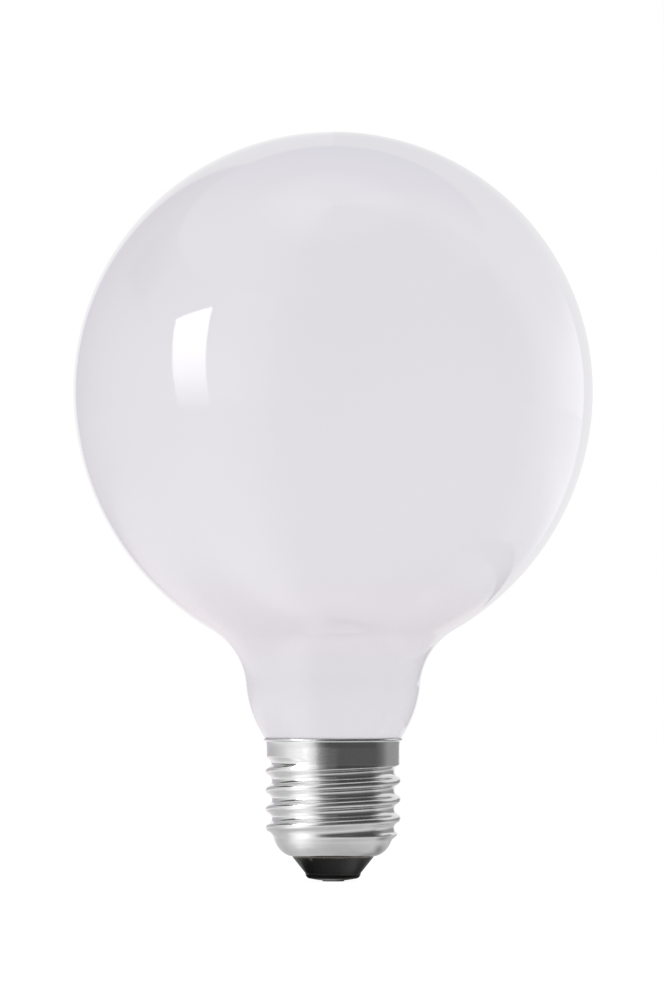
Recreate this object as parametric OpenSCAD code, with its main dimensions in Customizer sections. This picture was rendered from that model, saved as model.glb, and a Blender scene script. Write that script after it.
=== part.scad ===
// Globe bulb with a screw cap: opal glass envelope, rolled screw shell, black insulator and bottom contact.
// The origin is the middle of the contact's lower face, and the bulb stands up from it along Z.

/* [Globe] */
// Diameter of the glass globe
globe_d = 100; // [95:0.5:105]
// Height from the cap's lip to the lowest point that the globe would have as a whole ball
neck_h = 16.8; // [14:0.1:20]
// How much larger the flank's radius is than the globe's, which makes the lower half a little pear-shaped
flank_extra = 3.5; // [0.5:0.5:8]
// Angle below the globe's middle at which the flank takes over from the sphere
flank_angle = 6; // [2:1:25]
// Radius of the hollow curve between the flank and the neck
fillet_r = 13.2; // [10:0.2:15]

/* [Neck] */
// Radius of the neck's barrel-shaped side
neck_side_r = 21.6; // [18:0.2:25]
// Angle at which the neck's side runs in to the cap's lip, from the bulb's axis
neck_angle = 34.5; // [31:0.5:38]
// Angle at which the glass tucks in below the lip, from the bulb's axis
tuck_angle = 60; // [56:1:66]
// Room between the neck's end and the inside of the thread
neck_room = 1.3; // [0.8:0.1:2.5]
// How deep the neck reaches into the cap, from the lip
neck_depth = 13; // [10:0.5:15]
// Rounding of the neck's end
neck_end_round = 3; // [1:0.5:5]

/* [Screw shell] */
// Height of the shell's lip above the contact's lower face
cap_h = 27.5; // [26.5:0.1:28.5]
// Height of the shell's lower edge above the contact's lower face
shell_end_h = 4.8; // [4.4:0.1:5.2]
// Thickness of the shell's sheet
shell_wall = 0.3; // [0.2:0.05:0.4]
// How far the lip turns out past the skirt
lip_w = 0.55; // [0.45:0.05:0.8]
// Height of the flare that turns out to the lip's edge
lip_h = 0.75; // [0.6:0.05:1.2]
// How far the plain skirt lies inside the thread's crests
skirt_inset = 0.2; // [0.1:0.05:0.3]
// Height of the skirt, from where it starts to run in to the first groove up to the lip
skirt_h = 2.7; // [2.3:0.1:3.1]
// Width of the rounded lower end, from the thread's root inwards
end_round_w = 4.3; // [3.8:0.1:4.6]
// Height of the rounded lower end
end_round_h = 5.9; // [4.5:0.1:6.2]

/* [Thread] */
// Diameter over the thread's crests
thread_d = 26.1; // [26.05:0.05:26.4]
// Depth of the thread, from crest to root
thread_depth = 1.2; // [1.1:0.05:1.35]
// Pitch of the right-hand thread
thread_pitch = 3.629; // [3.5:0.001:3.75]
// How far below the lip a crest passes the +X side
crest_drop = 8.1; // [7.7:0.1:8.5]
// How far below the lip the uppermost groove has run out
groove_out_drop = 3.5; // [3.1:0.1:3.8]
// How far above the shell's lower edge the lowest ridge has run out
ridge_out_rise = 3.1; // [2.8:0.1:3.4]

/* [Insulator] */
// How far the cone's wide end stands out past the shell's lower edge
cone_lap = 0.3; // [0.1:0.05:0.4]
// How far the cone's narrow end stands out past the contact plate
cone_ledge = 0.8; // [0.6:0.05:1.1]
// Height of the cone's narrow end above the contact's lower face
cone_low_h = 1.6; // [1.5:0.05:2]
// Radius of the round lower edge
nose_round = 1.1; // [1:0.05:1.4]
// Height of the flange inside the shell, above the shell's lower edge
flange_h = 3.2; // [2.4:0.1:4]
// Diameter of the hole that the lead passes through
lead_hole_d = 2.4; // [2:0.1:3]

/* [Contact] */
// Diameter of the dished contact plate
plate_d = 9.1; // [8.6:0.1:9.2]
// Thickness of the contact plate
plate_wall = 0.25; // [0.2:0.05:0.35]
// How far the plate's rim stands above its middle
plate_dish = 0.45; // [0.35:0.05:0.6]
// Diameter of the hole in the middle of the plate
plate_hole_d = 1.6; // [1.2:0.1:1.8]
// Diameter of the solder spot
solder_d = 4.6; // [4:0.1:5]
// How far the flat under the solder spot ends inside its edge
solder_edge = 0.3; // [0.2:0.05:0.6]
// How far the solder stands below the plate's middle
solder_drop = 0.1; // [0.05:0.05:0.2]
// How far the solder rises in the lead's hole
solder_rise = 2; // [1:0.1:2.6]

/* [Fits] */
// Clearance between pieces that seat in each other
fit_gap = 0.05; // [0.04:0.01:0.08]

/* [Hidden] */

// Degrees turned by one chord of a drawn arc
arc_step = 3;
// Sides of the shell's rings, rings to a turn of thread, and rings below the thread and over the lip
shell_sides = 44;
rings_a_turn = 11;
end_rings = 7;
lip_rings = 4;
$fn = 96;

crest_r = thread_d / 2;
root_r = crest_r - thread_depth;
skirt_r = crest_r - skirt_inset;
flare_r = skirt_r + lip_w;
flare_h = cap_h - lip_h;
flare_rise = lip_h - shell_wall;
skirt_end_h = cap_h - skirt_h;
groove_out_h = cap_h - groove_out_drop;
crest_h = cap_h - crest_drop;
ridge_out_h = shell_end_h + ridge_out_rise;
// The shell is drawn with flat chords, and this is how far they stand inside its true round
chord_gap = crest_r * (1 - cos(180 / shell_sides));
half_pitch = thread_pitch / 2;
profile_r = (pow(half_pitch, 2) + pow(thread_depth, 2)) / (2 * thread_depth);
end_top_h = shell_end_h + end_round_h;
end_in_r = root_r - end_round_w;

globe_r = globe_d / 2;
globe_c = [0, cap_h + neck_h + globe_r];
flank_r = globe_r + flank_extra;
flank_c = globe_c - flank_extra * [cos(flank_angle), -sin(flank_angle)];
mouth_r = flare_r - shell_wall - fit_gap;
mouth = [mouth_r, cap_h];
neck_c = mouth + neck_side_r * [-cos(neck_angle), sin(neck_angle)];
fillet_c = apex(flank_c, flank_r + fillet_r, neck_c, neck_side_r + fillet_r);
neck_end_r = root_r - shell_wall - neck_room;
tuck_end_h = cap_h - (mouth_r - neck_end_r) / tan(tuck_angle);

// The crest's round is this share of the thread's two tangent rounds, and the root's is the rest
crest_share = 0.4;
crest_round = profile_r * crest_share;
root_round = profile_r - crest_round;
// The uppermost groove fades out over this share of a turn along the thread
groove_fade_share = 0.25;
// The ridge is full this share of the pitch above where it has run out, and is cut short by the rounded end
ridge_fade_share = 0.44;
// The skirt runs in to the groove over this share of the pitch
skirt_fade_share = 0.65;
// Crests keep to the skirt's size for this share of the pitch under the groove's end, then grow over this one
crest_start_share = 0.39;
crest_fade_share = 0.33;

cement_out_r = skirt_r - shell_wall - fit_gap - chord_gap;
cement_in_r = neck_end_r + fit_gap;
neck_gap_h = fit_gap / sin(tuck_angle);

plate_r = plate_d / 2;
dish_r = (pow(plate_r, 2) + pow(plate_dish, 2)) / (2 * plate_dish);
dish_c = [0, solder_drop + dish_r];
plate_hole_r = plate_hole_d / 2;
lead_hole_r = lead_hole_d / 2;
solder_r = solder_d / 2;
nose_c = [plate_r + cone_ledge - nose_round, cone_low_h];
seat_r = plate_r + fit_gap;
flange_top_h = shell_end_h + flange_h;

// Points on an arc about c, in the plane of the bulb's section, from angle a to angle b
function arc(c, r, a, b) =
    let (n = ceil(abs(b - a) / arc_step))
    [for (i = [0:n]) c + r * [cos(a + (b - a) * i / n), sin(a + (b - a) * i / n)]];

// Corner of the triangle over the side p to q, to the side's right, at the distances rp and rq from its ends
function apex(p, rp, q, rq) =
    let (d = norm(q - p),
         u = (q - p) / d,
         x = (rp * rp - rq * rq + d * d) / (2 * d),
         y = sqrt(rp * rp - x * x))
    p + x * u + y * [-u[1], u[0]];

// Direction from p to a q that lies nearer the axis, in degrees about 180
function bearing(p, q) = 180 - atan2(q[1] - p[1], p[0] - q[0]);

// Goes from 0 to 1 with level ends while x does
function eased(x) = let (t = min(max(x, 0), 1)) t * t * (3 - 2 * t);

// Drop of the thread's round profile below its crest, at a distance along the axis from the crest
function thread_drop(t) =
    let (s = abs(t), low = half_pitch - s)
    s < half_pitch * crest_share
        ? crest_round - sqrt(pow(crest_round, 2) - s * s)
        : thread_depth - root_round + sqrt(pow(root_round, 2) - low * low);

// Radius of the shell without its thread: rounded end, then the thread's root
function core_r(h) =
    h > end_top_h ? root_r : end_in_r + end_round_w * sqrt(max(0, 1 - pow((end_top_h - h) / end_round_h, 2)));

// Largest radius at a height: crests, skirt, and the flare's hollow round out to the lip's edge
function limit_r(h) =
    h > flare_h ? flare_r - (flare_r - skirt_r) * sqrt(max(0, 1 - pow((h - flare_h) / flare_rise, 2)))
                : skirt_r + (crest_r - skirt_r) *
                    eased(((groove_out_h - h) / thread_pitch - crest_start_share) / crest_fade_share);

// Radius of the shell's outside at a height and an angle, with the thread fading out at both ends
function shell_r(h, a) =
    let (turns = (h - crest_h) / thread_pitch - a / 360,
         t = (turns - round(turns)) * thread_pitch,
         groove_at = h - t + sign(t) * half_pitch,
         groove = eased((groove_out_h - groove_at) / (thread_pitch * groove_fade_share))
             * eased((skirt_end_h - h) / (thread_pitch * skirt_fade_share)),
         ridge = eased((h - ridge_out_h) / (thread_pitch * ridge_fade_share)))
    h > flare_h ? limit_r(h)
                : min(limit_r(h), core_r(h) + (thread_depth - thread_drop(t) * groove) * ridge);

// Heights of the shell's rings, from its lower edge to its lip
ring_h = concat(
    let (a = asin((end_top_h - ridge_out_h) / end_round_h))
    [for (i = [0:end_rings - 1]) end_top_h - end_round_h * sin(90 - (90 - a) * i / end_rings)],
    let (n = ceil((skirt_end_h - ridge_out_h) / thread_pitch * rings_a_turn))
    [for (i = [0:n]) ridge_out_h + (skirt_end_h - ridge_out_h) * i / n],
    [for (i = [0:lip_rings]) flare_h + flare_rise * sin(90 * i / lip_rings)]);
last_ring = len(ring_h) - 1;

// A point of the outside, in the section at an angle
function skin(i, a) = [shell_r(ring_h[i], a), ring_h[i]];

// The point across the sheet from it: the sheet has one thickness, and the lip ends level
function lining(i, a) =
    let (run = skin(min(i + 1, last_ring), a) - skin(max(i - 1, 0), a))
    i == last_ring ? [flare_r, cap_h] : skin(i, a) + shell_wall / norm(run) * [-run[1], run[0]];

function turned(p, a) = [p[0] * cos(a), p[0] * sin(a), p[1]];

module glass_globe() {
    to_flank = bearing(fillet_c, flank_c);
    to_neck = bearing(fillet_c, neck_c);
    section = concat(
        [[0, cap_h - neck_depth]],
        arc([neck_end_r - neck_end_round, cap_h - neck_depth + neck_end_round], neck_end_round, -90, 0),
        [[neck_end_r, tuck_end_h]],
        arc(neck_c, neck_side_r, -neck_angle, to_neck - 180),
        arc(fillet_c, fillet_r, to_neck, to_flank),
        arc(flank_c, flank_r, to_flank - 180, -flank_angle),
        arc(globe_c, globe_r, -flank_angle, 90));
    color([0.88, 0.87, 0.9])
        rotate_extrude()
            polygon([for (p = section) [max(p[0], 0), p[1]]]);
}

// Fills the wedge between the glass and the shell's skirt, down to where the thread starts
module basing_cement() {
    top_h = cap_h - neck_gap_h - (mouth_r - cement_out_r) / tan(tuck_angle);
    in_h = cap_h - neck_gap_h - (mouth_r - cement_in_r) / tan(tuck_angle);
    color([0.8, 0.76, 0.68])
        rotate_extrude()
            polygon([
                [cement_in_r, skirt_end_h],
                [cement_out_r, skirt_end_h],
                [cement_out_r, top_h],
                [cement_in_r, in_h]
            ]);
}

module screw_shell() {
    rings = len(ring_h);
    step = 360 / shell_sides;
    points = concat(
        [for (i = [0:last_ring], k = [0:shell_sides - 1]) turned(skin(i, k * step), k * step)],
        [for (i = [0:last_ring], k = [0:shell_sides - 1]) turned(lining(i, k * step), k * step)]);
    function at(i, k) = i * shell_sides + k % shell_sides;
    function inner(i, k) = rings * shell_sides + at(i, k);
    faces = concat(
        [for (i = [0:last_ring - 1], k = [0:shell_sides - 1]) each [
            [at(i, k), at(i + 1, k), at(i + 1, k + 1)],
            [at(i, k), at(i + 1, k + 1), at(i, k + 1)],
            [inner(i, k), inner(i, k + 1), inner(i + 1, k + 1)],
            [inner(i, k), inner(i + 1, k + 1), inner(i + 1, k)]]],
        [for (k = [0:shell_sides - 1]) each [
            [at(0, k), at(0, k + 1), inner(0, k + 1)],
            [at(0, k), inner(0, k + 1), inner(0, k)],
            [at(last_ring, k), inner(last_ring, k), inner(last_ring, k + 1)],
            [at(last_ring, k), inner(last_ring, k + 1), at(last_ring, k + 1)]]]);
    color([0.72, 0.72, 0.72])
        polyhedron(points, faces);
}

// The cone outside, a waist through the shell's open end, and a flange that follows the rounded end inside
module insulator() {
    round_gap = fit_gap + 2 * chord_gap;
    waist_r = end_in_r - fit_gap - chord_gap;
    seat_h = shell_end_h + shell_wall + round_gap;
    flange_round_w = end_round_w - shell_wall - round_gap;
    flange_round_h = end_top_h - seat_h;
    function flange_r(h) = end_in_r + flange_round_w * sqrt(max(0, 1 - pow((end_top_h - h) / flange_round_h, 2)));
    flange_points = [for (a = [90:-arc_step:0])
        let (h = end_top_h - flange_round_h * sin(a)) if (h < flange_top_h) [flange_r(h), h]];
    nose_low = -acos((seat_r - nose_c[0]) / nose_round);
    dish_a = asin(seat_r / (dish_r - plate_wall - fit_gap));
    hole_a = asin(lead_hole_r / (dish_r - plate_wall - fit_gap));
    color([0.1, 0.1, 0.1])
        rotate_extrude()
            polygon(concat(
                arc(dish_c, dish_r - plate_wall - fit_gap, hole_a - 90, dish_a - 90),
                arc(nose_c, nose_round, nose_low, 0),
                [[end_in_r + cone_lap, shell_end_h - fit_gap], [waist_r, shell_end_h - fit_gap], [waist_r, seat_h]],
                flange_points,
                [[flange_r(flange_top_h), flange_top_h], [lead_hole_r, flange_top_h]]));
}

// Dished disc with a hole in its middle
module centre_contact() {
    function edge_a(r, about) = asin(r / about) - 90;
    inner_r = dish_r - plate_wall;
    color([0.75, 0.74, 0.7])
        rotate_extrude()
            polygon(concat(
                arc(dish_c, dish_r, edge_a(plate_hole_r, dish_r), edge_a(plate_r, dish_r)),
                arc(dish_c, inner_r, edge_a(plate_r, inner_r), edge_a(plate_hole_r, inner_r))));
}

// Flat drop under the plate, with a stem up through the plate's hole into the lead's
module solder_spot() {
    cap_r = dish_r + fit_gap;
    function edge_a(r) = asin(r / cap_r) - 90;
    stem_r = plate_hole_r - fit_gap;
    color([0.8, 0.8, 0.8])
        rotate_extrude()
            polygon(concat(
                [[0, 0], [solder_r - solder_edge, 0]],
                arc(dish_c, cap_r, edge_a(solder_r), edge_a(stem_r)),
                [[stem_r, solder_drop + solder_rise], [0, solder_drop + solder_rise]]));
}

glass_globe();
basing_cement();
screw_shell();
insulator();
centre_contact();
solder_spot();
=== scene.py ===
"""Globe bulb: a blown opal globe on a short neck, cemented in a rolled screw cap with a black insulator."""

import math

import bpy
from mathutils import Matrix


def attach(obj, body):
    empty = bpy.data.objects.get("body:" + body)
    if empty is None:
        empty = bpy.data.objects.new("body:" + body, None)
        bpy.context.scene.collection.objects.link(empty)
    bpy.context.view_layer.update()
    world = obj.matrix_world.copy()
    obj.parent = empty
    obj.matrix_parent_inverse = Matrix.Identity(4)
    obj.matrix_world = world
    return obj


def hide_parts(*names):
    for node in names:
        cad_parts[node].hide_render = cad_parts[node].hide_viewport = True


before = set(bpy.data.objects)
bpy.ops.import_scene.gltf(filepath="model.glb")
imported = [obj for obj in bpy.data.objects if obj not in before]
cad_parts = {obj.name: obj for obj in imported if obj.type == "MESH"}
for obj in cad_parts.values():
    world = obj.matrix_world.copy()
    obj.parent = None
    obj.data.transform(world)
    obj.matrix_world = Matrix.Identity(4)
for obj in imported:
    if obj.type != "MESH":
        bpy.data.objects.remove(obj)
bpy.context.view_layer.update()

# Opal glass envelope
# Globe, pear-shaped flank, hollow shoulder and barrel neck are blown in one piece of opal-white glass.
# The neck tucks in at the cap's lip and ends in the cap, where cement holds it.

mm = 0.001
cap_h = 27.5
lip_r = 13.4
sheet = 0.3
clearance = 0.05

globe_r = 50
globe_c = (0, 94.3)
flank_extra = 3.5
flank_angle = 6
shoulder_r = 13.2
neck_side_r = 21.6
neck_angle = 34.5
tuck_angle = 60
neck_end_r = 10.25
neck_depth = 13
neck_end_round = 3


def at(degrees):
    """The direction at an angle, as across and up."""
    return math.cos(math.radians(degrees)), math.sin(math.radians(degrees))


def arc(centre, radius, first, last, step):
    """Points along an arc in the bulb's section, in millimetres."""
    count = math.ceil(abs(last - first) / step)
    turns = [at(first + (last - first) * i / count) for i in range(count + 1)]
    return [(centre[0] + radius * x, centre[1] + radius * y) for x, y in turns]


def bearing(p, q):
    """Direction from p to a q nearer the axis, in degrees about 180."""
    return 180 - math.degrees(math.atan2(q[1] - p[1], p[0] - q[0]))


def draw_outline(name, points):
    """Draws one side of a piece's section, edge by edge, and leaves it open in edit mode."""
    if bpy.context.object and bpy.context.object.mode == "EDIT":
        bpy.ops.object.mode_set(mode="OBJECT")
    bpy.ops.object.select_all(action="DESELECT")
    bpy.ops.mesh.primitive_plane_add(size=mm, location=(0, 0, 0))
    piece = bpy.context.object
    piece.name = piece.data.name = name
    bpy.ops.object.mode_set(mode="EDIT")
    bpy.ops.mesh.merge(type="CENTER")
    last = (0, 0)
    for i, (across, up) in enumerate(points):
        move = ((across - last[0]) * mm, 0, (up - last[1]) * mm)
        if i == 0:
            bpy.ops.transform.translate(value=move)
        elif math.hypot(*move) > 0.001 * mm:
            bpy.ops.mesh.extrude_vertices_move(TRANSFORM_OT_translate={"value": move})
        else:
            continue
        last = (across, up)
    return piece


def turn_outline(piece, sides, sweep=360, smooth_to=30):
    """Turns the drawn outline about the bulb's axis, closes its seam and points its faces outwards."""
    bpy.ops.mesh.select_all(action="SELECT")
    bpy.ops.mesh.spin(steps=sides, angle=math.radians(sweep), center=(0, 0, 0), axis=(0, 0, 1))
    bpy.ops.mesh.select_all(action="SELECT")
    bpy.ops.mesh.remove_doubles(threshold=0.002 * mm)
    bpy.ops.mesh.normals_make_consistent(inside=False)
    bpy.ops.object.mode_set(mode="OBJECT")
    bpy.ops.object.shade_smooth_by_angle(angle=math.radians(smooth_to))
    return piece


class Shade:
    """A value or colour that leaves a node, so that a sum on it adds a Math node."""

    def __init__(self, finish, socket):
        self.finish = finish
        self.socket = socket

    def work(self, operation, first, second):
        return self.finish.node("ShaderNodeMath", {"operation": operation}, {0: first, 1: second})

    def __add__(self, other):
        return self.work("ADD", self, other)

    def __radd__(self, other):
        return self.work("ADD", other, self)

    def __sub__(self, other):
        return self.work("SUBTRACT", self, other)

    def __rsub__(self, other):
        return self.work("SUBTRACT", other, self)

    def __mul__(self, other):
        return self.work("MULTIPLY", self, other)

    def __rmul__(self, other):
        return self.work("MULTIPLY", other, self)

    def __truediv__(self, other):
        return self.work("DIVIDE", self, other)

    def __pow__(self, other):
        return self.work("POWER", self, other)


class Finish:
    """A finish in the making: a material's nodes, each added by one call."""

    def __init__(self, name):
        self.material = bpy.data.materials.new(name)
        self.material.use_nodes = True
        self.tree = self.material.node_tree
        self.tree.nodes.clear()

    def node(self, kind, settings, sockets, out=0):
        """Adds a node with its settings, then its sockets' values or links, and gives one of its outputs."""
        new = self.tree.nodes.new(kind)
        for name, value in settings.items():
            if name == "stops":
                ramp = new.color_ramp.elements
                while len(ramp) < len(value):
                    ramp.new(1)
                for stop, (place, colour) in zip(ramp, value):
                    stop.position = place
                    stop.color = (*colour, 1)
            else:
                setattr(new, name, value)
        for name, value in sockets.items():
            entry = new.inputs[name] if isinstance(name, int) else next(
                s for s in new.inputs if name in (s.identifier, s.name))
            if isinstance(value, Shade):
                self.tree.links.new(value.socket, entry)
            else:
                entry.default_value = value
        ways = new.outputs
        return Shade(self, ways[out] if isinstance(out, int) else next(
            s for s in ways if out in (s.identifier, s.name)))

    def surface(self, shader, *pieces):
        """Ends the finish in this shader and puts it on the pieces."""
        end = self.tree.nodes.new("ShaderNodeOutputMaterial")
        self.tree.links.new(shader.socket, end.inputs["Surface"])
        for piece in pieces:
            piece.data.materials.clear()
            piece.data.materials.append(self.material)


mouth = (lip_r - sheet - clearance, cap_h)
across, up = at(flank_angle)
flank_c = (globe_c[0] - flank_extra * across, globe_c[1] + flank_extra * up)
flank_r = globe_r + flank_extra
across, up = at(neck_angle)
neck_c = (mouth[0] - neck_side_r * across, mouth[1] + neck_side_r * up)
tuck_end_h = cap_h - (mouth[0] - neck_end_r) / math.tan(math.radians(tuck_angle))
# The shoulder's centre is where circles about the flank's and the neck's centres cross, outside the glass
span = math.dist(flank_c, neck_c)
along = ((neck_c[0] - flank_c[0]) / span, (neck_c[1] - flank_c[1]) / span)
from_flank, from_neck = flank_r + shoulder_r, neck_side_r + shoulder_r
foot = (from_flank ** 2 - from_neck ** 2 + span ** 2) / (2 * span)
rise = math.sqrt(from_flank ** 2 - foot ** 2)
shoulder_c = (flank_c[0] + foot * along[0] - rise * along[1], flank_c[1] + foot * along[1] + rise * along[0])
to_flank, to_neck = bearing(shoulder_c, flank_c), bearing(shoulder_c, neck_c)

neck_end_c = (neck_end_r - neck_end_round, cap_h - neck_depth + neck_end_round)
glass = draw_outline("opal_envelope", [
    (0, cap_h - neck_depth),
    *arc(neck_end_c, neck_end_round, -90, 0, 9),
    (neck_end_r, tuck_end_h),
    *arc(neck_c, neck_side_r, -neck_angle, to_neck - 180, 1.2),
    *arc(shoulder_c, shoulder_r, to_neck, to_flank, 1.6),
    *arc(flank_c, flank_r, to_flank - 180, -flank_angle, 1.1),
    *arc(globe_c, globe_r, -flank_angle, 90, 1.1),
])
turn_outline(glass, 256)

opal = Finish("opal_glass_gloss")
place = opal.node("ShaderNodeTexCoord", {}, {}, "Object")
height = opal.node("ShaderNodeSeparateXYZ", {}, {"Vector": place}, "Z")
cloud = opal.node("ShaderNodeTexNoise", {}, {"Vector": place, "Scale": 28.0, "Detail": 2.0})
swirl = opal.node("ShaderNodeTexNoise", {}, {"Vector": place, "Scale": 11.0, "Detail": 1.0})
# Painted shade: a darker, pinker band round the concave shoulder, where the globe's flank meets the neck.
shoulder = opal.node("ShaderNodeMapRange", {"interpolation_type": "SMOOTHSTEP"}, {
    "Value": height, "From Min": 0.040, "From Max": 0.049})
flank = opal.node("ShaderNodeMapRange", {"interpolation_type": "SMOOTHSTEP"}, {
    "Value": height, "From Min": 0.049, "From Max": 0.062})
shoulder_shade_band = shoulder * (1 - flank)
white = opal.node("ShaderNodeMix", {"data_type": "RGBA"}, {
    "Factor_Float": cloud, "A_Color": (0.745, 0.728, 0.768, 1), "B_Color": (0.757, 0.741, 0.780, 1)}, "Result_Color")
opal_and_shoulder_shade = opal.node("ShaderNodeMix", {"data_type": "RGBA"}, {
    "Factor_Float": shoulder_shade_band * 0.6, "A_Color": white, "B_Color": (0.745, 0.690, 0.728, 1)}, "Result_Color")
ripple = opal.node("ShaderNodeBump", {}, {"Strength": 0.06, "Distance": 0.0008, "Height": swirl})
opal.surface(opal.node("ShaderNodeBsdfPrincipled", {}, {
    "Base Color": opal_and_shoulder_shade, "Roughness": 0.035 + cloud * 0.03, "IOR": 1.5, "Normal": ripple}), glass)
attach(glass, "root")
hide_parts("glass_globe")

# Basing cement
# A ring of pale, gritty cement fills the wedge between the tucked-in neck and the cap's skirt.
# It is baked hard with the cap on, and holds the glass; nothing of it shows outside.

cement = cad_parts["basing_cement"]
grit = Finish("baked_cement")
place = grit.node("ShaderNodeTexCoord", {}, {}, "Object")
grain = grit.node("ShaderNodeTexNoise", {}, {"Vector": place, "Scale": 2600.0, "Detail": 4.0})
stain = grit.node("ShaderNodeTexNoise", {}, {"Vector": place, "Scale": 260.0, "Detail": 2.0})
tone = grit.node("ShaderNodeValToRGB", {"stops": [(0.3, (0.50, 0.45, 0.36)), (0.7, (0.68, 0.63, 0.53))]}, {"Fac": stain})
rough = grit.node("ShaderNodeBump", {}, {"Strength": 0.6, "Distance": 0.0001, "Height": grain})
grit.surface(grit.node("ShaderNodeBsdfPrincipled", {}, {
    "Base Color": tone, "Roughness": 0.8 + grain * 0.15, "Normal": rough}), cement)

# Screw shell
# One thin sheet of bright metal is drawn to a cup, its lip is turned out, and the right-hand thread is
# rolled in between the plain skirt and the rounded lower end, where ridge and groove run out.

skirt_r = 12.85
lip_h = 0.62
swell_h = 1.1
swell = 0.07
skirt_end_h = 24.8
shell_end_h = 4.8
end_round = (4.3, 5.9)
crest_r = 13.05
thread_depth = 1.2
pitch = 3.629
crest_h = 19.4
groove_out_h = 24
ridge_out_h = 7.9

root_r = crest_r - thread_depth
end_in_r = root_r - end_round[0]
end_top_h = shell_end_h + end_round[1]
flare_h = cap_h - lip_h
flare_rise = lip_h - sheet
half_pitch = pitch / 2
both_rounds = (half_pitch ** 2 + thread_depth ** 2) / (2 * thread_depth)
crest_round = both_rounds * 0.4
root_round = both_rounds - crest_round


def eased(x):
    """Goes from 0 to 1 with level ends while x does."""
    t = min(max(x, 0), 1)
    return t * t * (3 - 2 * t)


def drop_from_crest(t):
    """Drop of the rolled profile below its crest, at a distance along the axis."""
    s, low = abs(t), half_pitch - abs(t)
    if s < half_pitch * 0.4:
        return crest_round - math.sqrt(crest_round ** 2 - s * s)
    return thread_depth - root_round + math.sqrt(root_round ** 2 - low * low)


def plain_radius(h):
    """Radius of the drawn cup before its thread is rolled."""
    if h > flare_h:
        return lip_r - (lip_r - skirt_r - swell) * math.sqrt(max(0, 1 - ((h - flare_h) / flare_rise) ** 2))
    if h > end_top_h:
        return root_r
    return end_in_r + end_round[0] * math.sqrt(max(0, 1 - ((end_top_h - h) / end_round[1]) ** 2))


def rolled_radius(h, turn):
    """Radius of the rolled shell at a height and a share of a turn."""
    if h > flare_h:
        return plain_radius(h)
    turns = (h - crest_h) / pitch - turn
    t = (turns - round(turns)) * pitch
    groove_at = h - t + math.copysign(half_pitch, t)
    groove = eased((groove_out_h - groove_at) / (pitch * 0.25)) * eased((skirt_end_h - h) / (pitch * 0.65))
    ridge = eased((h - ridge_out_h) / (pitch * 0.44))
    limit = skirt_r + (crest_r - skirt_r) * eased(((groove_out_h - h) / pitch - 0.39) / 0.33)
    limit += swell * max(0, (h - flare_h) / swell_h + 1) ** 2
    return min(limit, plain_radius(h) + (thread_depth - drop_from_crest(t) * groove) * ridge)


end_rings, thread_rings, skirt_rings, lip_rings = 30, 110, 12, 9
ring_h = [end_top_h - end_round[1] * math.sin(math.pi / 2 * (1 - i / end_rings) ** 1.4) for i in range(end_rings)]
ring_h += [end_top_h + (skirt_end_h - end_top_h) * i / thread_rings for i in range(thread_rings)]
ring_h += [skirt_end_h + (flare_h - skirt_end_h) * i / skirt_rings for i in range(skirt_rings)]
ring_h += [flare_h + flare_rise * math.sin(math.pi / 2 * i / lip_rings) for i in range(lip_rings + 1)]

shell = draw_outline("rolled_shell", [(plain_radius(h), h) for h in ring_h])
turn_outline(shell, 192)
bpy.ops.object.mode_set(mode="EDIT")
bpy.ops.mesh.select_all(action="SELECT")
bpy.ops.mesh.flip_normals()
bpy.ops.object.mode_set(mode="OBJECT")
for vertex in shell.data.vertices:
    x, y, z = vertex.co
    radius = rolled_radius(min(z / mm, cap_h), math.atan2(y, x) / math.tau) * mm
    now = math.hypot(x, y)
    vertex.co = (x * radius / now, y * radius / now, z)
wall = shell.modifiers.new("sheet", "SOLIDIFY")
wall.thickness = sheet * mm
wall.offset = -1
wall.use_even_offset = True
bpy.ops.object.modifier_apply(modifier=wall.name)
edge = shell.modifiers.new("sheared edge", "BEVEL")
edge.width = 0.05 * mm
edge.segments = 2
edge.limit_method = "ANGLE"
edge.angle_limit = math.radians(50)
bpy.ops.object.modifier_apply(modifier=edge.name)
bpy.ops.object.shade_smooth_by_angle(angle=math.radians(45))

bright = Finish("bright_rolled_sheet")
place = bright.node("ShaderNodeTexCoord", {}, {}, "Object")
stretch = bright.node("ShaderNodeMapping", {}, {"Vector": place, "Scale": (180.0, 180.0, 5200.0)})
draw_marks = bright.node("ShaderNodeTexNoise", {}, {"Vector": stretch, "Scale": 1.0, "Detail": 3.0})
peel = bright.node("ShaderNodeTexNoise", {}, {"Vector": place, "Scale": 2300.0, "Detail": 2.0})
haze = bright.node("ShaderNodeTexNoise", {}, {"Vector": place, "Scale": 240.0, "Detail": 3.0})
metal = bright.node("ShaderNodeValToRGB", {"stops": [
    (0.35, (0.82, 0.82, 0.82)), (0.65, (0.87, 0.87, 0.87))]}, {"Fac": haze})
dents = bright.node("ShaderNodeBump", {}, {"Strength": 0.3, "Distance": 0.00002, "Height": peel + draw_marks * 0.25})
bright.surface(bright.node("ShaderNodeBsdfPrincipled", {}, {
    "Base Color": metal, "Metallic": 1.0, "Roughness": 0.11 + haze * 0.07, "Normal": dents}), shell)
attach(shell, "root")
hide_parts("screw_shell")

# Insulator
# Black glass is pressed hot into the shell's lower end, and grips it with a flange inside.
# Outside it is a short cone with a round lower edge, under a thin tan line at the shell's edge, which is a painted
# highlight of the sheet's edge.

cone_top_r = end_in_r + 0.3
plate_r = 4.55
seat_r = plate_r + clearance
nose_r = 1.1
nose_c = (plate_r + 0.8 - nose_r, 1.6)
plate_wall = 0.25
plate_dish = 0.45
solder_drop = 0.1
dish_r = (plate_r ** 2 + plate_dish ** 2) / (2 * plate_dish)
dish_c = (0, solder_drop + dish_r)
flange_top_h = shell_end_h + 3.2
lead_hole_r = 1.2
waist_r = end_in_r - 0.08
seat_h = shell_end_h + sheet + 0.12


def down_to(reach, radius):
    """Angle on a dish of this radius at which it reaches so far from the axis."""
    return math.degrees(math.asin(reach / radius)) - 90


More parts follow.
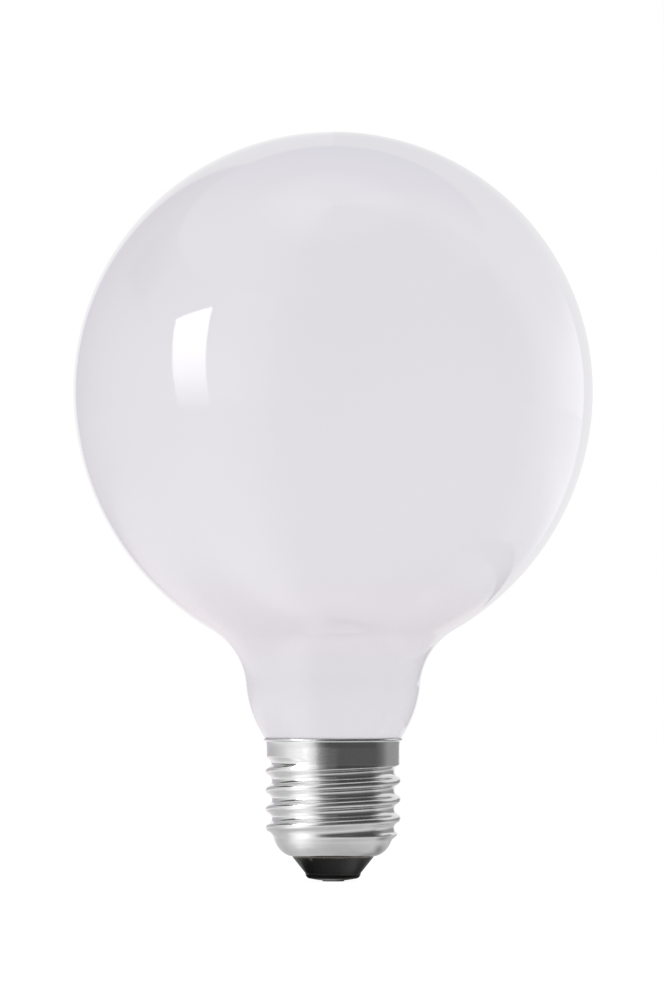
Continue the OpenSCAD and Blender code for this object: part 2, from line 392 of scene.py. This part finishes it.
def flange_radius(h):
    """Radius of the flange, which fills the shell's rounded end from inside."""
    fill = (end_round[0] - sheet - 0.12, end_top_h - seat_h)
    return end_in_r + fill[0] * math.sqrt(max(0, 1 - ((end_top_h - h) / fill[1]) ** 2))


bed_r = dish_r - plate_wall - clearance
flange_hs = [seat_h + (flange_top_h - seat_h) * (i / 12) ** 2 for i in range(13)]
insulator = draw_outline("pressed_insulator", [
    *arc(dish_c, bed_r, down_to(lead_hole_r, bed_r), down_to(seat_r, bed_r), 1),
    *arc(nose_c, nose_r, -math.degrees(math.acos((seat_r - nose_c[0]) / nose_r)), 0, 6),
    (cone_top_r - 0.08, shell_end_h - clearance - 0.12),
    (cone_top_r, shell_end_h - clearance),
    (waist_r, shell_end_h - clearance),
    (waist_r, seat_h),
    *[(flange_radius(h), h) for h in flange_hs],
    (lead_hole_r, flange_top_h),
    (lead_hole_r, dish_c[1] - math.sqrt(bed_r ** 2 - lead_hole_r ** 2)),
])
turn_outline(insulator, 160, smooth_to=40)

black = Finish("pressed_black_glass")
place = black.node("ShaderNodeTexCoord", {}, {}, "Object")
height = black.node("ShaderNodeSeparateXYZ", {}, {"Vector": place}, "Z")
flow = black.node("ShaderNodeTexNoise", {}, {"Vector": place, "Scale": 300.0, "Detail": 3.0})
fleck = black.node("ShaderNodeTexNoise", {}, {"Vector": place, "Scale": 2400.0, "Detail": 2.0})
body = black.node("ShaderNodeValToRGB", {"stops": [
    (0.3, (0.0014, 0.0012, 0.0010)), (0.7, (0.0040, 0.0037, 0.0031))]}, {"Fac": flow})
# Painted highlight: a thin tan band just under the shell's edge stands for light on the sheet's edge; tan carries it
# with the body colour.
tan_edge_highlight = black.node("ShaderNodeMapRange", {"interpolation_type": "SMOOTHSTEP"}, {
    "Value": height + flow * 0.00012, "From Min": 0.00464, "From Max": 0.00476})
tan = black.node("ShaderNodeMix", {"data_type": "RGBA"}, {
    "Factor_Float": tan_edge_highlight, "A_Color": body, "B_Color": (0.22, 0.18, 0.145, 1)}, "Result_Color")
from_drip = black.node("ShaderNodeVectorMath", {"operation": "DISTANCE"}, {0: place, 1: (-0.00437, -0.00633, 0.0043)}, "Value")
drip = black.node("ShaderNodeMapRange", {"interpolation_type": "SMOOTHSTEP"}, {
    "Value": from_drip + fleck * 0.0003, "From Min": 0.00035, "From Max": 0.00075})
tan = black.node("ShaderNodeMix", {"data_type": "RGBA"}, {
    "Factor_Float": 1 - drip, "A_Color": tan, "B_Color": (0.075, 0.068, 0.057, 1)}, "Result_Color")
pits = black.node("ShaderNodeBump", {}, {"Strength": 0.3, "Distance": 0.00003, "Height": fleck})
black.surface(black.node("ShaderNodeBsdfPrincipled", {}, {
    "Base Color": tan, "Roughness": 0.22 + flow * 0.1, "IOR": 1.5, "Normal": pits}), insulator)
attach(insulator, "root")
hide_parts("insulator")

# Contact plate
# A thin disc of plated brass, dished and holed in a press, sits in the insulator's lower end.
# The lead comes down through its hole.

plate_hole_r = 0.8
inner_r = dish_r - plate_wall
plate = draw_outline("contact_disc", [
    *arc(dish_c, dish_r, down_to(plate_hole_r, dish_r), down_to(plate_r, dish_r), 1.2),
    *arc(dish_c, inner_r, down_to(plate_r, inner_r), down_to(plate_hole_r, inner_r), 1.2),
    arc(dish_c, dish_r, down_to(plate_hole_r, dish_r), 0, 500)[0],
])
turn_outline(plate, 128)

pressed = Finish("plated_brass_disc")
place = pressed.node("ShaderNodeTexCoord", {}, {}, "Object")
rings = pressed.node("ShaderNodeTexWave", {"wave_type": "RINGS", "rings_direction": "Z"}, {
    "Vector": place, "Scale": 1500.0, "Distortion": 1.5, "Detail": 2.0})
tarnish = pressed.node("ShaderNodeTexNoise", {}, {"Vector": place, "Scale": 700.0, "Detail": 3.0})
tone = pressed.node("ShaderNodeValToRGB", {"stops": [
    (0.35, (0.50, 0.48, 0.44)), (0.7, (0.66, 0.65, 0.63))]}, {"Fac": tarnish})
turned = pressed.node("ShaderNodeBump", {}, {"Strength": 0.15, "Distance": 0.00001, "Height": rings})
pressed.surface(pressed.node("ShaderNodeBsdfPrincipled", {}, {
    "Base Color": tone, "Metallic": 1.0, "Roughness": 0.22 + tarnish * 0.14, "Normal": turned}), plate)
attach(plate, "root")
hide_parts("centre_contact")

# Solder spot
# Tin solder closes the hole over the lead and stands below the plate as a low, flat drop.
# It is dabbed on hot, so its edge is a little uneven, and its flat meets the lampholder's spring.

solder_r = 2.3
stem_r = plate_hole_r - clearance
over_r = dish_r + clearance
solder_top = solder_drop + 2
spot = draw_outline("solder_drop", [
    (0, 0), (0.7, 0), (1.4, 0), (solder_r - 0.3, 0), (solder_r - 0.16, 0.03),
    *arc(dish_c, over_r, down_to(solder_r, over_r), down_to(stem_r, over_r), 1),
    (stem_r, solder_top - 0.2), (stem_r - 0.2, solder_top), (0, solder_top),
])
turn_outline(spot, 96)
for vertex in spot.data.vertices:
    x, y, z = vertex.co
    out = math.hypot(x, y) / mm
    if out > 1:
        a = math.atan2(y, x)
        uneven = 0.03 * math.sin(3 * a + 0.6) + 0.02 * math.sin(7 * a + 2.1) + 0.012 * math.sin(13 * a)
        grown = 1 + (uneven - 0.06) * eased((out - 1) / (solder_r - 1))
        vertex.co = (x * grown, y * grown, z)

tin = Finish("tin_solder")
place = tin.node("ShaderNodeTexCoord", {}, {}, "Object")
frost = tin.node("ShaderNodeTexVoronoi", {}, {"Vector": place, "Scale": 1800.0}, "Distance")
wrinkle = tin.node("ShaderNodeTexNoise", {}, {"Vector": place, "Scale": 900.0, "Detail": 3.0})
tone = tin.node("ShaderNodeValToRGB", {"stops": [
    (0.3, (0.54, 0.54, 0.55)), (0.7, (0.70, 0.70, 0.71))]}, {"Fac": wrinkle})
skin = tin.node("ShaderNodeBump", {}, {"Strength": 0.35, "Distance": 0.00006, "Height": wrinkle + frost * 0.4})
tin.surface(tin.node("ShaderNodeBsdfPrincipled", {}, {
    "Base Color": tone, "Metallic": 1.0, "Roughness": 0.24 + wrinkle * 0.16, "Normal": skin}), spot)
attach(spot, "root")
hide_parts("solder_spot")

# Studio
# A pale floor under the contact, a white room, and cards that only polished surfaces mirror: a tall
# window to the left, a dim room in front, and a bright wall behind to the right.


def only_mirrored(piece):
    """Lets nothing but polished surfaces see a card."""
    piece.visible_camera = False
    piece.visible_diffuse = False
    piece.visible_transmission = False
    piece.visible_volume_scatter = False
    piece.visible_shadow = False


def level(finish, socket, low, high, kind="SMOOTHSTEP"):
    """Goes from 0 to 1 while a value goes from low to high."""
    return finish.node("ShaderNodeMapRange", {"interpolation_type": kind}, {
        "Value": socket, "From Min": low, "From Max": high})


def parts_of(finish, place):
    """A place's X, Y and Z."""
    return [finish.node("ShaderNodeSeparateXYZ", {}, {"Vector": place}, name) for name in "XYZ"]


def around(finish, x, y):
    """Turn about the bulb, 0 behind it, growing by way of the left, front and right to 1."""
    turn = finish.node("ShaderNodeMath", {"operation": "ARCTAN2"}, {0: x, 1: 0 - y})
    return turn / math.tau + 0.5


def stops(*pairs):
    """Ramp stops from degrees off the camera's side, left negative, each with its grey or colour."""
    return [(side / 360 + 0.5, tone if isinstance(tone, tuple) else (tone,) * 3) for side, tone in pairs]


eye_h = 0.094
draw_outline("room", [(1.6 * at(e)[0] / mm, 1.6 * at(e)[1] / mm) for e in range(-6, 91, 3)])
bpy.ops.mesh.select_all(action="SELECT")
bpy.ops.mesh.spin(steps=72, angle=math.tau, center=(0, 0, 0), axis=(0, 0, 1))
bpy.ops.mesh.select_all(action="SELECT")
bpy.ops.mesh.remove_doubles(threshold=mm)
bpy.ops.transform.translate(value=(0, 0, eye_h))
bpy.ops.object.mode_set(mode="OBJECT")
room = bpy.context.object
only_mirrored(room)
dim = Finish("dim_room")
x, y, z = parts_of(dim, dim.node("ShaderNodeTexCoord", {}, {}, "Object"))
turn = around(dim, x, y)
walls = dim.node("ShaderNodeValToRGB", {"stops": stops(
    (-180, 0.97), (-162, 0.97), (-160, (0.59, 0.55, 0.66)), (-150, (0.55, 0.53, 0.57)), (-138, 0.5), (-122, 0.54),
    (-104, 0.68), (-89, 0.86), (-75, 1.0), (-63, 1.1), (-54, 1.32), (-45, 1.3), (-38, 1.05), (-31, 0.88), (-25, 0.45),
    (-18, 0.3), (-8, 0.2), (3, 0.19), (10, 0.125), (82, 0.125), (96, 0.3), (105, 0.8), (116, 0.95), (149, 0.88))}, {"Fac": turn})
walls = dim.node("ShaderNodeVectorMath", {"operation": "SCALE"}, {
    0: walls, "Scale": 1 - 0.14 * level(dim, z, eye_h + 0.3, eye_h + 0.7)}, "Vector")
panel = dim.node("ShaderNodeValToRGB", {"stops": stops(
    (-180, 0.0), (104, 0.0), (116, 0.25), (124, 0.48), (146.5, 0.5), (148, 0.0))}, {"Fac": turn})
panel = dim.node("ShaderNodeVectorMath", {"operation": "SCALE"}, {
    0: panel, "Scale": 1 - level(dim, z, eye_h + 0.1, eye_h + 0.5)}, "Vector")
walls = dim.node("ShaderNodeVectorMath", {"operation": "ADD"}, {0: walls, 1: panel}, "Vector")
gloom = dim.node("ShaderNodeValToRGB", {"stops": stops(
    (-138, 0.0), (-130, 0.22), (-110, 0.3), (-102, 0.0), (-22, 0.0), (-12, 0.05), (84, 0.05), (94, 0.0))}, {"Fac": turn})
gloom_low = dim.node("ShaderNodeMapRange", {}, {"Value": turn, "From Min": 0.3, "From Max": 0.31, "To Min": 0.66, "To Max": 0.1})
gloom_high = level(dim, z - gloom_low, 0.0, 0.14) * (1 - level(dim, z, eye_h + 0.82, eye_h + 1.04))
gloom = dim.node("ShaderNodeVectorMath", {"operation": "SCALE"}, {0: gloom, "Scale": gloom_high}, "Vector")
walls = dim.node("ShaderNodeVectorMath", {"operation": "SUBTRACT"}, {0: walls, 1: gloom}, "Vector")
ceiling = dim.node("ShaderNodeValToRGB", {"stops": stops(
    (-180, (0.50, 0.49, 0.62)), (-145, (0.66, 0.64, 0.72)), (-132, 0.75), (-115, 0.88), (-95, 0.95), (-75, 0.95),
    (-60, 0.9), (-45, 0.85), (-31, 0.65), (-20, 0.35), (0, 0.22), (20, 0.15), (60, 0.18), (82, 0.25), (96, 0.5),
    (112, 0.8), (140, (0.50, 0.49, 0.62)))}, {"Fac": turn})
cornice = level(dim, z, eye_h + 1.6 * math.sin(math.radians(40.5)), eye_h + 1.6 * math.sin(math.radians(42)))
zenith = dim.node("ShaderNodeVectorMath", {"operation": "SCALE"}, {
    0: (0.45, 0.45, 0.45), "Scale": level(dim, z, eye_h + 1.6 * math.sin(math.radians(64)), eye_h + 1.6 * math.sin(math.radians(80)))}, "Vector")
ceiling = dim.node("ShaderNodeVectorMath", {"operation": "ADD"}, {0: ceiling, 1: zenith}, "Vector")
both = dim.node("ShaderNodeMix", {"data_type": "RGBA"}, {
    "Factor_Float": cornice, "A_Color": walls, "B_Color": ceiling}, "Result_Color")
dim.surface(dim.node("ShaderNodeEmission", {}, {"Color": both, "Strength": 1.0}), room)

bpy.ops.object.select_all(action="DESELECT")
bpy.ops.mesh.primitive_plane_add(size=1, location=(0, 0, 0))
window = bpy.context.object
window.name = "window"
corners = {(-1, -1): (-0.5003, -0.1940, 0.0234), (1, -1): (-0.4290, -0.3248, 0.0100),
           (-1, 1): (-0.4801, -0.1040, 0.3153), (1, 1): (-0.4035, -0.2268, 0.3766)}
for vertex in window.data.vertices:
    vertex.co = corners[(math.copysign(1, vertex.co.x), math.copysign(1, vertex.co.y))]
only_mirrored(window)
pane = Finish("window_glow")
x, y, z = parts_of(pane, pane.node("ShaderNodeTexCoord", {}, {}, "Object"))
depth = pane.node("ShaderNodeLightPath", {}, {}, "Ray Depth")
once = pane.node("ShaderNodeMath", {"operation": "LESS_THAN"}, {0: depth, 1: 1.5})
shine = 0.9 + level(pane, z, 0.03, 0.14, "LINEAR") * 3.4 + level(pane, z, 0.10, 0.28) * 3.0
shine = pane.node("ShaderNodeVectorMath", {"operation": "SCALE"}, {0: (1, 1, 1), "Scale": shine}, "Vector")
shine = pane.node("ShaderNodeEmission", {}, {"Color": shine, "Strength": 1.0})
gone = pane.node("ShaderNodeBsdfTransparent", {}, {})
pane.surface(pane.node("ShaderNodeMixShader", {}, {0: once, 1: gone, 2: shine}), window)


def curved_card(name, off, low, high, first, last, tones, nearest, farthest):
    """A card bent about the bulb, so far off its axis, that only metal so near and so far mirrors."""
    card = draw_outline(name, [(off, low), (off, high)])
    bpy.ops.mesh.select_all(action="SELECT")
    bpy.ops.mesh.spin(steps=24, angle=math.radians(first - last), center=(0, 0, 0), axis=(0, 0, 1))
    bpy.ops.object.mode_set(mode="OBJECT")
    for vertex in card.data.vertices:
        x, y, z = vertex.co
        side = math.radians(first - 90) + math.atan2(y, x)
        vertex.co = (off * mm * math.cos(side), off * mm * math.sin(side), z)
    only_mirrored(card)
    finish = Finish(name + "_tone")
    x, y, z = parts_of(finish, finish.node("ShaderNodeTexCoord", {}, {}, "Object"))
    tone = finish.node("ShaderNodeValToRGB", {"stops": stops(*tones)}, {"Fac": around(finish, x, y)})
    tone = finish.node("ShaderNodeEmission", {}, {"Color": tone, "Strength": 1.0})
    reached = finish.node("ShaderNodeLightPath", {}, {}, "Ray Length")
    within = finish.node("ShaderNodeMath", {"operation": "LESS_THAN"}, {0: reached, 1: farthest})
    beyond = finish.node("ShaderNodeMath", {"operation": "GREATER_THAN"}, {0: reached, 1: nearest})
    gone = finish.node("ShaderNodeBsdfTransparent", {}, {})
    finish.surface(finish.node("ShaderNodeMixShader", {}, {0: within * beyond, 1: gone, 2: tone}), card)


curved_card("grey_card", 75, 1, 34, 74, 150, ((74, 0.105), (87, 0.165), (103, 0.33), (150, 0.34)), 0.0617, 0.0735)
curved_card("dark_card", 120, 71, 130, -127, -75, ((-127, 0.2), (-117, 0.1), (-86, 0.1), (-75, 0.25)), 0.117, 0.168)

bpy.ops.object.select_all(action="DESELECT")
bpy.ops.mesh.primitive_grid_add(size=3.6, x_subdivisions=12, y_subdivisions=12, location=(0, 0, 0))
floor = bpy.context.object
floor.name = "studio_floor"
paper = Finish("pale_paper")
place = paper.node("ShaderNodeTexCoord", {}, {}, "Object")
x, y, z = parts_of(paper, place)
turn = around(paper, x, y)
away = paper.node("ShaderNodeVectorMath", {"operation": "LENGTH"}, {0: place}, "Value")


def ringed(rings):
    """What polish sees in the paper, as painted light and shade: each ring's reach from the contact, and its tones
    about the bulb.
    """
    seen_in, inner = None, 0
    for reach, tones in rings:
        ring = paper.node("ShaderNodeValToRGB", {"stops": stops(*tones)}, {"Fac": turn})
        seen_in = ring if seen_in is None else paper.node("ShaderNodeMix", {"data_type": "RGBA"}, {
            "Factor_Float": level(paper, away, inner, reach), "A_Color": seen_in, "B_Color": ring}, "Result_Color")
        inner = reach
    return seen_in


# Painted light and shade in the paper, for glossy rays only: darker rings near the contact are a painted shadow,
# brighter patches about the bulb are painted light.
mirrored = ringed((
    (0.0085, ((-180, 0.45), (-104, 0.56), (-90, 0.585), (-60, 0.575), (-26, 0.55), (-6, 0.52), (12, 0.46), (32, 0.47),
              (51, 0.475), (72, 0.43), (100, 0.26), (140, 0.42))),
    (0.0115, ((-180, 0.5), (-100, 0.53), (-78, 0.57), (-62, 0.64), (-48, 0.61), (-25, 0.555), (-4, 0.5), (6, 0.48),
              (26, 0.505), (64, 0.565), (81, 0.5), (104, 0.31), (150, 0.33))),
    (0.0148, ((-180, 0.5), (-103, 0.52), (-76, 0.62), (-57, 0.9), (-41, 0.8), (-27, 0.64), (0, 0.51), (17, 0.51),
              (62, 0.57), (74, 0.6), (95, 0.28), (104, 0.27), (150, 0.4))),
    (0.022, ((-180, 0.6), (-100, 0.58), (-85, 0.62), (-65, 1.05), (-50, 1.15), (-38, 0.95), (-25, 0.8), (0, 0.72),
             (30, 0.7), (60, 0.68), (84, 0.6), (104, 0.5), (150, 0.45))),
    (0.03, ((-180, 0.7), (-110, 0.58), (-85, 0.64), (-66, 1.1), (-56, 1.25), (-45, 1.2), (-33, 0.85), (-20, 0.6),
            (0, 0.5), (30, 0.48), (74, 0.5), (86, 0.7), (100, 0.68), (150, 0.5))),
    (0.043, ((-180, 0.7), (-110, 0.62), (-85, 0.68), (-66, 1.15), (-56, 1.25), (-42, 1.15), (-30, 0.7), (-20, 0.35),
             (-8, 0.25), (74, 0.3), (86, 0.66), (104, 0.6), (150, 0.5))),
    (0.06, ((-180, (0.95, 0.90, 0.92)), (-110, 0.68), (-85, 0.72), (-66, 1.15), (-56, 1.2), (-42, 1.05), (-30, 0.6),
            (-20, 0.2), (-8, 0.12), (76, 0.14), (88, 0.42), (104, 0.5), (150, 0.6), (172, 0.8))),
    (0.1, ((-180, (0.98, 0.88, 0.92)), (-150, (1.03, 0.95, 0.98)), (-110, 0.92), (-85, 0.88), (-66, 1.05), (-50, 1.0),
           (-36, 0.8), (-28, 0.4), (-20, 0.15), (-8, 0.08), (80, 0.09), (92, 0.3), (104, 0.6), (140, 0.6), (153, 0.92),
           (172, 0.95))),
    (0.34, ((-180, 0.97), (-163, 0.97), (-160, (0.62, 0.56, 0.63)), (-130, 0.56), (-104, 0.68), (-89, 0.8), (-52, 1.0),
            (-42, 0.9), (-31, 0.6), (-24, 0.25), (-8, 0.09), (12, 0.075), (84, 0.08), (104, 0.75), (120, 1.2),
            (147, 1.25), (149, 0.9))),
))
# What the pieces just above the paper see in it, which is their own shade
shaded = ringed((
    (0.003, ((-180, 0.15), (-70, 0.15), (-45, 0.2), (-25, 0.28), (0, 0.24), (30, 0.13), (60, 0.03), (180, 0.15))),
    (0.0042, ((-180, 0.1), (-70, 0.2), (-45, 0.12), (-25, 0.13), (0, 0.14), (30, 0.15), (60, 0.16), (90, 0.2), (180, 0.1))),
    (0.0056, ((-180, 0.03), (-60, 0.05), (-27, 0.13), (-10, 0.12), (0, 0.09), (15, 0.07), (34, 0.06), (50, 0.08),
              (75, 0.1), (100, 0.1), (180, 0.03))),
    (0.0066, ((-180, 0.03), (-95, 0.03), (-60, 0.06), (-42, 0.1), (-27, 0.17), (-15, 0.18), (0, 0.13), (18, 0.1),
              (34, 0.09), (62, 0.09), (100, 0.1), (140, 0.06), (180, 0.03))),
    (0.0074, ((-180, 0.03), (-95, 0.03), (-60, 0.08), (-42, 0.19), (-27, 0.3), (0, 0.43), (18, 0.5), (34, 0.7),
              (48, 0.72), (62, 0.41), (75, 0.22), (100, 0.13), (140, 0.08), (180, 0.03))),
    (0.0088, ((-180, 0.03), (-95, 0.03), (-60, 0.07), (-42, 0.18), (-27, 0.31), (0, 0.45), (18, 0.54), (34, 0.75),
              (48, 0.9), (62, 0.74), (75, 0.28), (100, 0.14), (140, 0.1), (180, 0.03))),
))
reach_up = paper.node("ShaderNodeValToRGB", {"stops": stops(
    (-180, 0.8), (-104, 0.8), (-90, 0.76), (-72, 0.68), (-45, 0.59), (-26, 0.56), (0, 0.54), (26, 0.56), (45, 0.59),
    (72, 0.68), (90, 0.76), (104, 0.8))}, {"Fac": turn})
reached = paper.node("ShaderNodeLightPath", {}, {}, "Ray Length")
just_above = paper.node("ShaderNodeMath", {"operation": "LESS_THAN"}, {0: reached, 1: reach_up * 0.01})
mirrored = paper.node("ShaderNodeMix", {"data_type": "RGBA"}, {
    "Factor_Float": just_above, "A_Color": mirrored, "B_Color": shaded}, "Result_Color")
tooth = paper.node("ShaderNodeTexNoise", {}, {"Vector": place, "Scale": 900.0, "Detail": 2.0})
felt = paper.node("ShaderNodeBump", {}, {"Strength": 0.05, "Distance": 0.00002, "Height": tooth})
matt = paper.node("ShaderNodeBsdfDiffuse", {}, {"Color": (0.86, 0.86, 0.86, 1), "Normal": felt})
pale = paper.node("ShaderNodeEmission", {}, {"Color": (1, 1, 1, 1), "Strength": 1.2})
# Glossy rays see this painted light and shade in place of the lit paper.
painted_paper_light = paper.node("ShaderNodeEmission", {}, {"Color": mirrored, "Strength": 1.0})
seen = paper.node("ShaderNodeLightPath", {}, {}, "Is Camera Ray")
gloss = paper.node("ShaderNodeLightPath", {}, {}, "Is Glossy Ray")
through = paper.node("ShaderNodeLightPath", {}, {}, "Is Transmission Ray")
lifted = paper.node("ShaderNodeMixShader", {}, {0: (seen + through) * 0.74, 1: matt, 2: pale})
lifted = paper.node("ShaderNodeMixShader", {}, {0: gloss, 1: lifted, 2: painted_paper_light})
below = paper.node("ShaderNodeNewGeometry", {}, {}, "Backfacing")
clear = paper.node("ShaderNodeBsdfTransparent", {}, {})
paper.surface(paper.node("ShaderNodeMixShader", {}, {0: below * seen, 1: lifted, 2: clear}), floor)


def soft_lamp(name, place, aim, size, power):
    """A large soft lamp that only lights, and isn't mirrored."""
    bpy.ops.object.light_add(type="AREA", location=place)
    lamp = bpy.context.object
    lamp.name = name
    lamp.data.shape = "DISK"
    lamp.data.size = size
    lamp.data.energy = power
    away = [a - p for a, p in zip(aim, place)]
    flat = math.hypot(away[0], away[1])
    lamp.rotation_euler = (math.atan2(flat, -away[2]), 0, math.atan2(away[1], away[0]) - math.pi / 2)
    lamp.visible_camera = False
    lamp.visible_glossy = False
    lamp.visible_transmission = False
    return lamp


soft_lamp("left_lamp", (-1.6, -1.4, 1.1), (0, 0, 0.07), 1.2, 0.6)
soft_lamp("right_lamp", (1.8, -0.6, 0.6), (0, 0, 0.07), 1.2, 1.0)
soft_lamp("table_lamp", (0, 0, 0.0004), (0, 0.00001, 1), 1.6, 1.45)

world = bpy.data.worlds.new("white_room")
bpy.context.scene.world = world
world.use_nodes = True
tree = world.node_tree
tree.nodes.clear()
path = tree.nodes.new("ShaderNodeLightPath")
plain = tree.nodes.new("ShaderNodeBackground")
plain.inputs["Color"].default_value = (1, 1, 1, 1)
plain.inputs["Strength"].default_value = 0.985
shown = tree.nodes.new("ShaderNodeBackground")
shown.inputs["Color"].default_value = (1, 1, 1, 1)
shown.inputs["Strength"].default_value = 1.0
either = tree.nodes.new("ShaderNodeMath")
either.operation = "MAXIMUM"
tree.links.new(path.outputs["Is Camera Ray"], either.inputs[0])
tree.links.new(path.outputs["Is Glossy Ray"], either.inputs[1])
any_of = tree.nodes.new("ShaderNodeMath")
any_of.operation = "MAXIMUM"
tree.links.new(either.outputs[0], any_of.inputs[0])
tree.links.new(path.outputs["Is Transmission Ray"], any_of.inputs[1])
mixed = tree.nodes.new("ShaderNodeMixShader")
tree.links.new(any_of.outputs[0], mixed.inputs[0])
tree.links.new(plain.outputs[0], mixed.inputs[1])
tree.links.new(shown.outputs[0], mixed.inputs[2])
ending = tree.nodes.new("ShaderNodeOutputWorld")
tree.links.new(mixed.outputs[0], ending.inputs["Surface"])

bpy.context.scene.view_settings.view_transform = "Standard"

# Camera
# A long lens stands level with the bulb's middle, far enough away for a nearly straight view.

bpy.ops.object.camera_add(location=(-0.0002, -3.208, 0.0734), rotation=(math.radians(90), 0, 0))
camera = bpy.context.object
camera.name = "camera"
camera.data.lens = 600
camera.data.sensor_width = 36
camera.data.clip_start = 0.1
camera.data.clip_end = 40
bpy.context.scene.camera = camera
